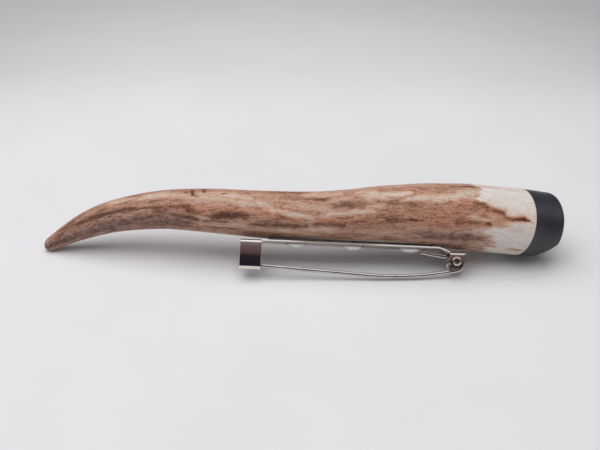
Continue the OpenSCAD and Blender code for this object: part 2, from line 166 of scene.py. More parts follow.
def ring_skin(rings):
    """A skin over rings of points, closed round each ring, with one pole at either end.
    rings is an array (count, sides, 3); returns vertices and faces facing outwards for
    rings that turn anticlockwise seen from the end that they advance towards."""
    count, sides = rings.shape[:2]
    vertices = np.concatenate([rings.reshape(-1, 3), rings[:1].mean(1), rings[-1:].mean(1)])
    i, k = np.meshgrid(np.arange(count - 1), np.arange(sides), indexing="ij")
    a, b = i * sides + k, i * sides + (k + 1) % sides
    quads = np.stack([a, b, b + sides, a + sides], -1).reshape(-1, 4).tolist()
    k = np.arange(sides)
    n = (k + 1) % sides
    first, last = count * sides, count * sides + 1
    top = (count - 1) * sides
    start = np.stack([np.full(sides, first), n, k], -1).tolist()
    end = np.stack([np.full(sides, last), top + k, top + n], -1).tolist()
    return vertices, quads + start + end


def turned(profile, sides):
    """Rings of a turned shape about X: each row of the profile is a radius r and a distance
    x along the axis, and its ring's points are (x, r cos a, r sin a)."""
    a = 2 * np.pi * np.arange(sides) / sides
    r, x = profile[:, 0, None], profile[:, 1, None]
    return np.stack([x + 0 * a, r * np.cos(a), r * np.sin(a)], -1)


def carried(path, radius, sides):
    """Rings of a round section carried along a path: path + r (cos a n + sin a b), where
    n = d x Y and b = d x n lie across the path's direction d."""
    d = np.gradient(path, axis=0)
    d /= np.linalg.norm(d, axis=1, keepdims=True)
    n = np.cross(d, [0.0, 1.0, 0.0])
    n /= np.linalg.norm(n, axis=1, keepdims=True)
    b = np.cross(d, n)
    a = 2 * np.pi * np.arange(sides) / sides
    r = np.broadcast_to(radius, (len(path),))[:, None, None]
    return path[:, None] + r * (
        np.cos(a)[None, :, None] * n[:, None] + np.sin(a)[None, :, None] * b[:, None])


def lay_attribute(piece, name, kind, values):
    """Lays a value on each vertex, for the materials to read."""
    layer = piece.data.attributes.new(name, kind, "POINT")
    field = {"FLOAT_COLOR": "color", "FLOAT_VECTOR": "vector", "FLOAT": "value"}[kind]
    layer.data.foreach_set(field, np.ascontiguousarray(values, np.float32).ravel())


# Materials

def fill_ramp(made, stops):
    """Puts (place, colour) stops into a colour ramp node."""
    row = made.color_ramp.elements
    while len(row) < len(stops):
        row.new(0.5)
    for element, (at, colour) in zip(row, stops):
        element.position, element.color = at, (*colour, 1.0)


class Paint:
    """A material under construction: short calls that add and join its nodes."""

    def __init__(self, name):
        self.material = bpy.data.materials.new(name)
        self.material.use_nodes = True
        self.tree = self.material.node_tree
        self.shader = self.tree.nodes["Principled BSDF"]

    def node(self, kind, inputs=(), **settings):
        """A new node with its settings and inputs given."""
        made = self.tree.nodes.new(kind)
        for key, value in settings.items():
            setattr(made, key, value)
        for key, value in dict(inputs).items():
            self.give(made.inputs[key], value)
        return made

    def give(self, socket, value):
        """Joins a socket to another node's output, or sets its own value."""
        if isinstance(value, bpy.types.NodeSocket):
            self.tree.links.new(value, socket)
        else:
            socket.default_value = value

    def set(self, **inputs):
        """Fills in the shader and hands the material over."""
        for key, value in inputs.items():
            self.give(self.shader.inputs[key.replace("_", " ")], value)
        return self.material

    def attribute(self, name):
        """A value laid on the piece's own vertices."""
        return self.node("ShaderNodeAttribute", attribute_name=name)

    def place(self, stretch, source=None, angles=(0, 0, 0)):
        """Object coordinates, or another vector, stretched and turned."""
        if source is None:
            source = self.node("ShaderNodeTexCoord").outputs["Object"]
        return self.node("ShaderNodeMapping",
                         {"Vector": source, "Scale": stretch, "Rotation": angles}).outputs[0]

    def bar_place(self):
        """Object coordinates turned back into the bar's own frame: x, y, z in metres."""
        back = turn(turn(-REST_SHIFT, "x", REST_ROLL), "y", -REST_PITCH) * MM
        place = self.node("ShaderNodeMapping", {
            "Vector": self.node("ShaderNodeTexCoord").outputs["Object"],
            "Rotation": (math.radians(REST_ROLL), math.radians(-REST_PITCH), 0),
            "Location": back.tolist()}).outputs[0]
        return self.node("ShaderNodeSeparateXYZ", {0: place}).outputs

    def noise(self, place, detail, rough, twist=0.0):
        """Cloudy noise in 0..1 over a place, whose stretch gives its scale."""
        return self.node("ShaderNodeTexNoise", {
            "Vector": place, "Scale": 1.0, "Detail": detail, "Roughness": rough,
            "Distortion": twist}).outputs["Fac"]

    def spots(self, place):
        """Distance to the nearest of many strewn points."""
        return self.node("ShaderNodeTexVoronoi",
                         {"Vector": place, "Scale": 1.0}).outputs["Distance"]

    def maths(self, operation, a, b=0.0):
        """One sum on two values."""
        return self.node("ShaderNodeMath", {0: a, 1: b}, operation=operation).outputs[0]

    def span(self, value, low, high, to_low=0.0, to_high=1.0):
        """Smooth step of a value between two limits, set out on a new range."""
        return self.node("ShaderNodeMapRange", {
            "Value": value, "From Min": low, "From Max": high, "To Min": to_low,
            "To Max": to_high}, interpolation_type="SMOOTHSTEP").outputs[0]

    def mix(self, share, a, b, blend="MIX"):
        """Colour mixed from a to b; colours are (red, green, blue) or sockets."""
        a, b = [(*c, 1.0) if isinstance(c, tuple) and len(c) == 3 else c for c in (a, b)]
        return self.node("ShaderNodeMix", {0: share, 6: a, 7: b}, data_type="RGBA",
                         blend_type=blend).outputs[2]

    def ramp(self, value, stops):
        """Colour read off a row of (place, colour) stops."""
        made = self.node("ShaderNodeValToRGB", {0: value})
        fill_ramp(made, stops)
        return made.outputs[0]

    def bump(self, height, strength, distance, under=None):
        """A normal raised by a height, distance in mm, on top of another normal."""
        inputs = {"Height": height, "Strength": strength, "Distance": distance * MM}
        if under is not None:
            inputs["Normal"] = under
        return self.node("ShaderNodeBump", inputs).outputs[0]


def antler_paint():
    """Polished antler, brown bark over cream bone. The piece carries masks for the cream,
    dark, rust and grey areas (attribute "tones") and its own straightened coordinates in
    mm (attribute "grain"). One depth of tone runs from chocolate to bone: the masks push
    it up and down, and streaks drawn out along the grain break it up."""
    p = Paint("antler")
    tones = p.node("ShaderNodeSeparateColor", {0: p.attribute("tones").outputs["Color"]})
    cream, dark, rust = tones.outputs[0], tones.outputs[1], tones.outputs[2]
    grey = p.attribute("tones").outputs["Alpha"]
    grain = p.attribute("grain").outputs["Vector"]
    long_lines = p.noise(p.place((0.22, 0.95, 0.95), grain), 6, 0.66, 0.7)
    short_lines = p.noise(p.place((1.15, 3.1, 3.1), grain), 5, 0.72, 0.6)
    specks = p.noise(p.place((4.6, 7.5, 7.5), grain), 3, 0.75)
    clouds = p.noise(p.place((0.10, 0.30, 0.30), grain), 3, 0.5)
    broken = p.maths("ADD", p.maths("MULTIPLY", long_lines, 1.05),
                     p.maths("MULTIPLY", short_lines, 1.00))
    broken = p.maths("ADD", broken, p.maths("MULTIPLY", specks, 0.75))
    broken = p.maths("SUBTRACT", broken, 1.40)
    push = p.maths("SUBTRACT", p.maths("MULTIPLY", cream, 0.50), p.maths("MULTIPLY", dark, 0.36))
    calm = p.span(cream, 0.55, 1.0, 1.0, 0.50)
    depth = p.maths("ADD", p.maths("ADD", 0.385, push), p.maths("MULTIPLY", broken, calm))
    tone = p.ramp(depth, [
        (0.00, (0.075, 0.035, 0.027)), (0.17, (0.165, 0.080, 0.056)),
        (0.33, (0.345, 0.180, 0.120)), (0.47, (0.460, 0.272, 0.190)),
        (0.60, (0.470, 0.330, 0.260)), (0.74, (0.550, 0.445, 0.380)),
        (0.90, (0.640, 0.590, 0.550)), (1.00, (0.680, 0.655, 0.630))])
    tone = p.mix(p.span(clouds, 0.40, 0.70, 0.0, 0.30), tone,
                 p.mix(1.0, tone, (1.0, 0.84, 0.74), "MULTIPLY"))
    tone = p.mix(p.maths("MULTIPLY", rust, 0.75), tone,
                 p.mix(1.0, tone, (1.06, 0.66, 0.46), "MULTIPLY"))
    tone = p.mix(p.maths("MULTIPLY", grey, 0.80), tone,
                 p.mix(1.0, tone, (0.66, 0.78, 0.92), "MULTIPLY"))
    gloss = p.span(short_lines, 0.3, 0.7, 0.42, 0.60)
    gloss = p.maths("SUBTRACT", gloss, p.maths("MULTIPLY", cream, 0.05))
    low = p.bump(long_lines, 0.45, 0.12)
    normal = p.bump(short_lines, 0.45, 0.05, low)
    normal = p.bump(specks, 0.25, 0.015, normal)
    return p.set(Base_Color=tone, Roughness=gloss, Normal=normal, Specular_IOR_Level=0.38,
                 Subsurface_Weight=0.05, Subsurface_Radius=(1.0, 0.6, 0.4),
                 Subsurface_Scale=0.0005)


def horn_paint():
    """Polished dark horn: near black with a cold cast, faint fibres and hairline wear."""
    p = Paint("horn")
    fibres = p.noise(p.place((3000, 260, 260)), 4, 0.6, 0.3)
    mottle = p.noise(p.place((180, 180, 180)), 3, 0.5)
    hairs = p.noise(p.place((900, 900, 6000), angles=(0.4, 0.3, 0.2)), 3, 0.7)
    tone = p.mix(p.span(mottle, 0.3, 0.7), (0.020, 0.020, 0.027), (0.033, 0.032, 0.040))
    tone = p.mix(p.span(fibres, 0.5, 0.75, 0.0, 0.5), tone, (0.046, 0.044, 0.046))
    gloss = p.span(hairs, 0.35, 0.7, 0.34, 0.46)
    normal = p.bump(fibres, 0.12, 0.02)
    normal = p.bump(hairs, 0.10, 0.01, normal)
    return p.set(Base_Color=tone, Roughness=gloss, Normal=normal, Specular_IOR_Level=0.46)


# Middle of the stretch of the bar's edge where its painted highlight is dimmer, and the distances
# from there at which the painted highlight is dimmest and at full strength, in mm
DIM_AT, DIM_TO, BRIGHT_FROM = -3.5, 5, 10


def metal_paint(name, tone, worn, gloss, lines, sheared=False):
    """Bright plate: tone and worn are its two colours, gloss the range of roughness, and
    lines the stretch of its polishing marks over the piece. Sheared edges are left rough, and
    their colour is painted light: a painted highlight above, a painted dark reflection below."""
    p = Paint(name)
    marks = p.noise(p.place(lines), 4, 0.65)
    film = p.noise(p.place((420, 420, 420)), 4, 0.6)
    dots = p.spots(p.place((2600, 2600, 2600)))
    colour = p.mix(p.span(film, 0.35, 0.75), tone, worn)
    colour = p.mix(p.span(dots, 0.10, 0.04, 0.0, 0.35), colour, (0.20, 0.17, 0.15))
    rough = p.span(marks, 0.3, 0.7, *gloss)
    rough = p.maths("ADD", rough, p.span(film, 0.5, 0.8, 0.0, 0.08))
    normal = p.bump(marks, 0.08, 0.003)
    normal = p.bump(film, 0.04, 0.01, normal)
    if sheared:
        # The edges' colour is painted light: a painted highlight on the upper part, dimmer along a
        # stretch in the middle, and a painted dark reflection on the lower part. Less metal lets
        # the lamp light this colour.
        edge, upper = sheared_edge(p)
        away = p.maths("ABSOLUTE", p.maths("ADD", p.bar_place()[0], -DIM_AT * MM))
        bright = p.mix(p.span(away, DIM_TO * MM, BRIGHT_FROM * MM),
                       (0.42, 0.35, 0.32), (0.88, 0.81, 0.78))
        colour = p.mix(edge, colour, p.mix(upper, (0.26, 0.22, 0.19), bright))
        rough = p.maths("ADD", rough, p.maths("MULTIPLY", edge, 0.35))
        return p.set(Base_Color=colour, Metallic=p.span(edge, 0, 1, 1.0, 0.15), Roughness=rough,
                     Normal=normal)
    return p.set(Base_Color=colour, Metallic=1.0, Roughness=rough, Normal=normal)


def sheared_edge(p):
    """Two masks: the sheet's sheared long edges with the hook's cut side, and their upper
    part, which takes a painted highlight where the lower part takes a painted dark reflection."""
    x, y, z = p.bar_place()
    stepped = p.node("ShaderNodeMapRange", {
        "Value": x, "From Min": JOG_X * MM, "From Max": (JOG_X + JOG_LEN) * MM,
        "To Max": SEAT_DROP * MM}).outputs[0]
    level = p.maths("ADD", z, stepped)
    beyond = p.maths("ABSOLUTE", y)
    strip = p.maths("MULTIPLY", p.span(level, (-SHEET_T - 0.03) * MM, (-SHEET_T + 0.05) * MM),
                    p.span(level, -0.02 * MM, 0.03 * MM, 1.0, 0.0))
    strip = p.maths("MULTIPLY", strip,
                    p.span(beyond, (BAR_W / 2 - 0.12) * MM, (BAR_W / 2 - 0.03) * MM))
    strip = p.maths("MULTIPLY", strip, p.span(x, CATCH_END * MM, (CATCH_END + 0.05) * MM))
    side = p.span(p.maths("ABSOLUTE", p.maths("SUBTRACT", x, CATCH_END * MM)),
                  0.03 * MM, 0.06 * MM, 1.0, 0.0)
    side = p.maths("MULTIPLY", side, p.span(z, (-SHEET_T - 0.5) * MM, (-SHEET_T - 0.1) * MM, 1, 0))
    # The upper part of the edge, which gets the painted highlight
    upper = p.span(level, -0.30 * MM, -0.20 * MM)
    return p.maths("MAXIMUM", strip, p.maths("MULTIPLY", side, 0.7)), upper


def glue_paint(name, thin, thick):
    """Cured clear adhesive: cloudy, glossy skin, small bubbles. The attribute "rim" is 1 on
    a bead's thin foot, which is painted near black: a painted dark reflection at the bead's edge."""
    p = Paint(name)
    cloud = p.noise(p.place((700, 700, 700)), 4, 0.6)
    bubbles = p.spots(p.place((3200, 3200, 3200)))
    tone = p.mix(p.span(cloud, 0.3, 0.7), thin, thick)
    tone = p.mix(p.span(bubbles, 0.22, 0.12, 0.0, 0.4), tone, thick)
    rim = p.attribute("rim").outputs["Fac"]
    # The thin foot is painted near black: a painted dark reflection at the bead's edge.
    tone = p.mix(p.span(rim, 0.84, 0.97, 0.0, 0.65), tone, (0.10, 0.095, 0.090))
    normal = p.bump(cloud, 0.25, 0.05)
    return p.set(Base_Color=tone, Roughness=p.span(cloud, 0.3, 0.7, 0.14, 0.30), Normal=normal,
                 Transmission_Weight=0.10, IOR=1.5, Subsurface_Weight=0.25,
                 Subsurface_Radius=(1.0, 1.0, 0.8), Subsurface_Scale=0.0008)


# Antler tine

def section_column(column, s):
    """Cubic blend through one column of SECTIONS at shares s of the length: with t the
    share of the gap between two rows, y = y0 (1+2t)(1-t)^2 + m0 gap t (1-t)^2
    + y1 t^2 (3-2t) + m1 gap t^2 (t-1). Each row's slope m is that between its neighbours,
    one-sided at the two ends."""
    x, y = SECTIONS[:, 0], SECTIONS[:, column]
    i = np.arange(len(x))
    before, after = np.maximum(i - 1, 0), np.minimum(i + 1, len(x) - 1)
    slope = (y[after] - y[before]) / (x[after] - x[before])
    k = np.clip(np.searchsorted(x, s, side="right") - 1, 0, len(x) - 2)
    gap = x[k + 1] - x[k]
    t = (s - x[k]) / gap
    return (y[k] * (1 + 2 * t) * (1 - t) ** 2 + slope[k] * gap * t * (1 - t) ** 2
            + y[k + 1] * t * t * (3 - 2 * t) + slope[k + 1] * gap * t * t * (t - 1))


def tine_centre(s):
    """Centre line of the tine: along the bar, bowed sideways, and as high over the bar as
    the lift of the underside and the girth make it."""
    return np.stack([
        TIP_X + TINE_LEN * s,
        BOW_W * section_column(3, s),
        SEAT_Z + ARCH_H * section_column(2, s) + BUTT_R * section_column(1, s)], -1)


# The viewer sees the side of the tine about this angle of its section
SEEN_FROM = 186.5
# Angles from there: start and stretch of the change to the hidden side, middle and width
# of that side's pale crest
HIDDEN_FROM, HIDDEN_OVER, CREST_AT, CREST_WIDE = 84, 26, 112, 42
# Where the bark is worn through to bone, in mm from the tip
BONE_FROM = 90.5
# Depth of the relief in mm: broad, marked and fine grooves, nicks and pits
BROAD_GROOVE, MARKED_GROOVE, FINE_GROOVE, NICK_IN, PIT_IN = 0.045, 0.05, 0.020, 0.13, 0.06
# Rows along the tine, how many of them lie on its round tip, and points in a row
ROWS, TIP_ROWS, ROW_POINTS = 560, 22, 168
# Share of the length to either side that gives the tine's heading
HEADING_STEP = 0.004
# One degree of the section in mm on its skin, and the half widths at which a mark is gone
DEGREE_MM, MARK_REACH = 0.12, 1.7

# Marks on the tine: (start mm from the tip, height there,
# end mm, height there, half width in degrees of the section, strength). Heights run from
# 1 at the upper outline to -1 at the lower one, as the photo's viewer sees the tine.
CREAM_MARKS = [
    (8, .94, 16, .90, 9, .25), (16, .80, 22, .72, 12, .42), (21, .68, 30, .66, 13, .55),
    (33, .64, 40, .62, 16, .72), (39, .70, 40, .72, 7, .5), (34, .36, 41, .40, 8, .35),
    (40, .40, 47, .36, 8, .75), (46, .20, 51, .12, 4.5, .9), (51, .10, 56, -.04, 5, .95),
    (56, -.02, 60, .05, 5, .75), (60, .10, 68, .18, 6, .85), (67, .24, 70, .30, 5, .45),
    (54, .78, 58, .76, 7, .75), (55, .90, 60, .86, 6, .5), (64, .80, 68, .76, 6, .7),
    (67, .66, 70, .66, 8, .8), (69, .66, 74, .68, 5, .8), (75, .55, 79, .58, 6, .8),
    (76, .56, 85, .54, 6.5, .9), (55, -.46, 59, -.52, 10, .75), (38, -.52, 41, -.60, 9, .5),
    (41, -.70, 52, -.70, 6, .35), (50, -.68, 53, -.68, 6, .6), (33, -.26, 35.5, -.34, 6, .4),
    (44, .42, 60, .30, 5, .35), (60, .92, 80, .92, 8, .4), (85, .66, 92, .70, 9, .8),
    (33, -.965, 45, -.97, 3.5, .9), (86.5, -.02, 91, -.04, 4.5, .95),
    (88, -.42, 92, -.36, 8, .75), (60, .62, 64, .66, 5, .3),
]
DARK_MARKS = [
    (0, -.5, 8, -.7, 30, .42), (6, -.55, 30, -.55, 22, .42), (1, .3, 8, .2, 30, .30),
    (8, .4, 24, .35, 16, .22),
    (7.5, .20, 9.5, .18, 8, .85), (10, .16, 17.5, .18, 9, 1.0), (10, .36, 13, .40, 7, .55),
    (12, .14, 15.5, .12, 8, .5), (15, -.02, 16, -.14, 5, .5), (18.6, .16, 20.2, .12, 8, .8),
    (21, .08, 25, .0, 4, .6), (24, -.12, 27, -.28, 6, .5), (4.4, .74, 5.6, .58, 9, .55),
    (30, .12, 32, -.04, 8, .75), (28, -.36, 33, -.40, 7, .85), (25, .04, 30, .06, 7, .45),
    (36, -.12, 41.5, -.18, 8, .85), (36, -.36, 38, -.42, 8, .55), (36, -.72, 39, -.78, 7, .55),
    (41, -.08, 43, -.10, 6, .5), (42, -.46, 45.5, -.42, 5.5, .8), (46, -.40, 55, -.42, 8, .95),
    (50, -.48, 54, -.46, 6, .5), (57, -.34, 62, -.36, 6, .75), (54, .64, 60, .60, 4.5, .6),
    (60, .42, 66, .38, 5.5, .65), (69, -.20, 72.5, -.24, 9, 1.0), (71, -.16, 77, -.17, 3.5, .8),
    (62, -.22, 70, -.18, 6, .3), (70, .40, 76, .38, 5, .4), (73.3, .54, 75, .70, 2.5, .55),
    (85, .30, 87, .34, 5, .5), (85, -.18, 88, -.24, 6, .45), (88, .36, 90.5, .38, 6, .5),
    (91, .24, 94, .16, 2.6, .8), (90, -.14, 92.2, -.16, 6, .75), (93, .0, 98.3, .06, 3.8, .85),
    (84, -.64, 89, -.66, 9, .5), (89.4, -.70, 90.4, -.70, 3, .6), (75, -.64, 84, -.66, 8, .5),
    (83, .88, 90.5, .87, 2.2, .8), (95.2, -.84, 97.6, -.86, 3.5, .6), (79, .50, 79.4, .50, 3, .6),
    (81, .82, 82, .80, 6, .3), (50, .88, 53, .92, 6, .35), (42, .56, 44, .52, 4, .35),
    (60, -.84, 64, -.82, 5, .35), (20, .32, 24, .26, 4, .3),
]
RUST_MARKS = [
    (2, .8, 3.5, .3, 9, .5), (44, .10, 50, .06, 8, .55), (50, -.05, 51.5, -.08, 4, .9),
    (58, -.10, 64, -.14, 8, .7), (76, -.16, 82, -.18, 12, .6), (90, -.10, 93, -.08, 6, .9),
    (93, .02, 98.5, .06, 5, .8), (84, .34, 93, .22, 8, .5), (28, .08, 34, .04, 8, .5),
    (36, .02, 44, -.02, 8, .45), (66, -.04, 90, .0, 12, .35), (85, -.2, 88, -.24, 7, .5),
    (7, .2, 10, .2, 10, .5), (96, .02, 99, .0, 10, .3),
]
GREY_MARKS = [
    (0, -.2, 6, -.5, 40, .9), (5, -.75, 26, -.75, 20, .85), (4, -.30, 22, -.50, 16, .7),
    (12, -.5, 14.5, -.52, 8, .6), (18, -.60, 21, -.62, 8, .5), (23, -.22, 27, -.30, 8, .5),
    (27, -.60, 30, -.66, 9, .6), (53, .42, 72, .44, 8, .35), (60, .42, 66, .40, 6, .4),
    (74, -.68, 86, -.70, 14, .5), (70, -.82, 75, -.86, 8, .5), (30, .40, 45, .30, 8, .25),
]
# Bark that still reaches over the bone at the sawn end
BARK_TONGUES = [
    (84, .30, 94, .13, 9, 1.0), (88, -.02, 98.4, .06, 4.6, 1.0),
    (84, -.64, 89.4, -.68, 16, 1.0),
]
# Small cuts and chips in the bark
NICKS = [
    (31.0, .92, 31.5, .66, 3.4, .9), (33.3, .97, 33.7, .80, 3.2, .8),
    (37.4, .76, 37.9, .80, 3.4, .9), (29.6, .84, 30.2, .78, 3, .6),
    (32.0, .64, 32.5, .60, 3, .6), (27.0, .90, 27.5, .86, 2.4, .5),
    (43.4, .50, 44.8, .30, 1.0, .6), (28.6, .46, 29.4, .44, 2, .5),
    (95.6, -.84, 97.2, -.87, 1.6, .8),
]


def marked(marks, along, across, soft=1.0):
    """Strength left by a list of marks: each has its own strength on the line between its
    two ends and falls off as 1 - ease(distance), counted in its half widths."""
    total = np.zeros_like(along)
    for x0, t0, x1, t1, wide, strength in marks:
        y0, y1 = math.degrees(math.asin(t0)), math.degrees(math.asin(t1))
        ax, ay = (x1 - x0) / (DEGREE_MM * wide), (y1 - y0) / wide
        px, py = (along - x0) / (DEGREE_MM * wide), (across - y0) / wide
        h = np.clip((px * ax + py * ay) / (ax * ax + ay * ay + 1e-9), 0, 1)
        away = np.hypot(px - h * ax, py - h * ay)
        total = np.maximum(total, strength * (1 - ease(away / (MARK_REACH * soft))))
    return total


def tine_surface():
    """The tine on a grid: share s along and angle a round its section.

    point = centre(s) + r(s) swell(s, a) (cos a side + sin a up), where side and up stand
    across the tine's heading, swell = 1 + oval cos(2a - from + twist s) + a three-sided
    part, and the underside is filed flat along the bar. Grooves, pits and nicks then take
    r inwards."""
    s = np.concatenate([
        TIP_SHARE * (1 - np.cos(np.pi / 2 * np.arange(1, TIP_ROWS + 1) / TIP_ROWS)),
        np.linspace(TIP_SHARE, 1, ROWS - TIP_ROWS + 1)[1:]])
    a = 360.0 * np.arange(ROW_POINTS) / ROW_POINTS
    d = (tine_centre(np.minimum(1, s + HEADING_STEP))
         - tine_centre(np.maximum(0, s - HEADING_STEP)))
    w = ease((s - TURN_START) / (1 - TURN_START))
    heading = np.arctan2(d[:, 1], d[:, 0]) * (1 - w) + math.radians(CUT_TURN) * w
    climb = np.arctan2(d[:, 2], np.hypot(d[:, 0], d[:, 1])) * (1 - w)
    zero = np.zeros_like(s)
    side = np.stack([-np.sin(heading), np.cos(heading), zero], -1)
    up = np.stack([-np.sin(climb) * np.cos(heading), -np.sin(climb) * np.sin(heading),
                   np.cos(climb)], -1)
    S, A = np.meshgrid(s, a, indexing="ij")
    fade = 1 - ease((S - FADE_START) / (1 - FADE_START))
    bulge = 1 + fade * (OVAL * np.cos(np.radians(2 * A - OVAL_FROM + OVAL_TWIST * S))
                        + SWELL * np.cos(np.radians(3 * A + SWELL_TWIST * S)))
    rounding = np.sqrt(1 - np.clip(1 - s / TIP_SHARE, 0, 1) ** 2)
    radius = (BUTT_R * section_column(1, s) * rounding)[:, None] * bulge
    radius = radius - SKIN_IN * rounding[:, None]
    centre = tine_centre(s)

    # Distance along the tine in mm, and angle above the middle of the seen side
    along = TINE_LEN * S - radius * np.sin(heading)[:, None] * np.cos(np.radians(A))
    across = (SEEN_FROM - A + 180) % 360 - 180
    wave = streaks(along, across, 9.0, 9, 11)
    flow = across + 5.0 * wave + 2.2 * streaks(along, across, 3.0, 24, 21)
    drift = along + 2.2 * streaks(along, across, 5.0, 40, 31) + 1.0 * wave
    coarse = streaks(along, across, 14.0, 22, 41, 4)
    broad = streaks(along, across, 22.0, 7, 51, 3)

    # The seen side follows the marks, and round the back the bark goes on at random
    hidden = ease((np.abs(across) - HIDDEN_FROM) / HIDDEN_OVER)
    cream = 0.70 * marked(CREAM_MARKS, drift, flow) * (1 - hidden)
    dark = marked(DARK_MARKS, drift, flow) * (1 - hidden)
    rust = marked(RUST_MARKS, drift, flow, 1.4)
    grey = marked(GREY_MARKS, drift, flow, 1.5)
    crest = np.exp(-((across - CREST_AT) / CREST_WIDE) ** 2) * ease((along - 8) / 14)
    cream = np.maximum(cream, hidden * ease(0.45 * crest + 0.9 * broad + 0.35 * coarse))
    dark = np.maximum(dark, hidden * ease(1.5 * (coarse - broad) - 0.5 - 0.6 * crest))
    grey = np.maximum(grey, hidden * ease(0.3 - 1.2 * broad) * 0.6)
    # Towards the sawn end the bark is worn through to bone, along a ragged edge
    fine = streaks(along, across, 2.4, 60, 61, 2)
    bone_from = (BONE_FROM + 3.2 * broad + 3.0 * coarse + 1.2 * wave + 0.9 * fine
                 - 3.0 * ease((across - 25) / 50))
    bare = ease((along - bone_from) / 1.0)
    cream = np.maximum(cream, bare * (1 - marked(BARK_TONGUES, drift, flow)))

    # Depth taken off, in mm
    groove = BROAD_GROOVE * np.clip(0.5 + coarse, 0, 1)
    groove += MARKED_GROOVE * marked(DARK_MARKS, drift, flow) + FINE_GROOVE * (1 + fine) / 2
    nick = marked(NICKS, along, across)
    pits = np.clip(streaks(along, across, 0.9, 60, 71, 1) - 0.72, 0, 1)
    depth = groove * (1 - 0.5 * bare) + NICK_IN * nick + PIT_IN * pits
    depth = depth * ease(S / 0.03) * ease((1 - S) / 0.012)
    radius = np.maximum(radius - depth, 0.2 * radius)

    c, sn = np.cos(np.radians(A))[..., None], np.sin(np.radians(A))[..., None]
    points = centre[:, None] + radius[..., None] * (c * side[:, None] + sn * up[:, None])

    # The filed flat is bare bone, with a thin pale strip beside it: partly bone colour and partly
    # a painted highlight where the facet's edge catches the light
    beyond = np.maximum(0, np.maximum(points[..., 0] - JOG_X, -BAR_END - points[..., 0]))
    flat_z = GLUE_T - beyond * math.tan(math.radians(FLAT_SLOPE))
    filed_edge_bone_and_highlight = 1 - ease((points[..., 2] - flat_z - 0.20) / 0.16)
    filed_edge_bone_and_highlight *= ease((along - 32) / 4) * ease((76 - along) / 6)
    filed = ease((flat_z - points[..., 2] + 0.05) / 0.07)
    points[..., 2] = np.maximum(points[..., 2], flat_z)
    cream = np.maximum(cream, np.maximum(0.95 * filed, 0.85 * filed_edge_bone_and_highlight))
    dark = np.maximum(dark * (1 - filed_edge_bone_and_highlight), nick)
    cream = cream * (1 - nick)
    rust, grey = rust * (1 - filed), grey * (1 - filed)
    grain = np.stack([along, radius * np.cos(np.radians(across)),
                      radius * np.sin(np.radians(across))], -1)
    tones = np.stack([cream, dark, rust, grey], -1)
    return points, tones, grain


def with_poles(values):
    """The grid's values in the order of ring_skin's vertices, the two poles last."""
    return np.concatenate([values.reshape(-1, values.shape[-1]),
                           values[:1].mean(1), values[-1:].mean(1)])


def make_tine():
    """The antler, with the masks and the grain that its material reads."""
    points, tones, grain = tine_surface()
    vertices, faces = ring_skin(points)
    piece = make_piece("antler", laid_down(vertices), faces, "brooch", ["antler_tine"],
                       antler_paint())
    lay_attribute(piece, "tones", "FLOAT_COLOR", with_poles(tones))
    lay_attribute(piece, "grain", "FLOAT_VECTOR", with_poles(grain))


# Horn cap

def cap_surface():
    """The cap turned about its own axis: joint face, side, rounded edge, domed end. The
    underside is worn to a ball: r = min(r, reach), where reach solves
    |(t, r cos a, r sin a - up)| = ball's radius; the two meet in a soft corner, and faint
    dents take r inwards."""
    end_r, side_t = BUTT_R - CAP_TAPER / 2, CAP_T - CAP_DOME - CAP_EDGE_R
    eased, soft, dent, sides = 0.10, 0.25, 0.02, 176
    k = np.linspace(0, 1, 26)
    start = np.stack([np.linspace(0, BUTT_R - eased, 14)[1:], np.zeros(13)], -1)
    ease_in = np.stack([BUTT_R - SKIN_IN - 0.08 * (1 - np.sin(np.pi / 2 * k[::4])),
                        eased * (1 - np.cos(np.pi / 2 * k[::4]))], -1)
    side = np.stack([BUTT_R - SKIN_IN + (end_r - BUTT_R) * k[1:],
                     eased + (side_t - eased) * k[1:]], -1)
    edge = np.stack([end_r - SKIN_IN - CAP_EDGE_R * (1 - np.cos(np.pi / 2 * k[1:])),
                     side_t + CAP_EDGE_R * np.sin(np.pi / 2 * k[1:])], -1)
    dome = np.stack([(end_r - SKIN_IN - CAP_EDGE_R) * (1 - k[1:-1]),
                     CAP_T - CAP_DOME + CAP_DOME * np.sin(np.pi / 2 * k[1:-1]) - 0.005], -1)
    profile = np.concatenate([start, ease_in, side, edge, dome])
    a = 2 * np.pi * np.arange(sides) / sides
    r, t = profile[:, 0, None] + 0 * a, profile[:, 1, None] + 0 * a
    worn_up = math.sqrt(CAP_WORN_R ** 2 - (CAP_WORN_SHARE * CAP_T) ** 2) - BUTT_R
    reach = worn_up * np.sin(a) + np.sqrt(
        np.maximum(0, CAP_WORN_R ** 2 - worn_up ** 2 * np.cos(a) ** 2 - t ** 2))
    gap = np.clip(0.5 + (reach - r) / (2 * soft), 0, 1)
    r = reach * (1 - gap) + r * gap - soft * gap * (1 - gap)
    degrees = np.degrees(a)[None] - 180 + 0 * r
    dents = streaks(t * 2.0, degrees, 5.0, 18, 81, 2)
    r = np.maximum(r - dent * (1 + dents) * ease(t / 0.6) * ease(r / 3), 0)
    return np.stack([t, r * np.cos(a), r * np.sin(a)], -1)


def make_cap():
    """The horn cap, turned to the saw cut and set on it with the joint's gap."""
    centre = tine_centre(np.array([1.0]))[0]
    vertices, faces = ring_skin(cap_surface())
    vertices = turn(vertices + [JOINT_GAP, 0, 0], "z", CUT_TURN) + centre
    make_piece("horn_cap", laid_down(vertices), faces, "brooch", ["end_cap"],
               horn_paint(), 50)


# Metal parts

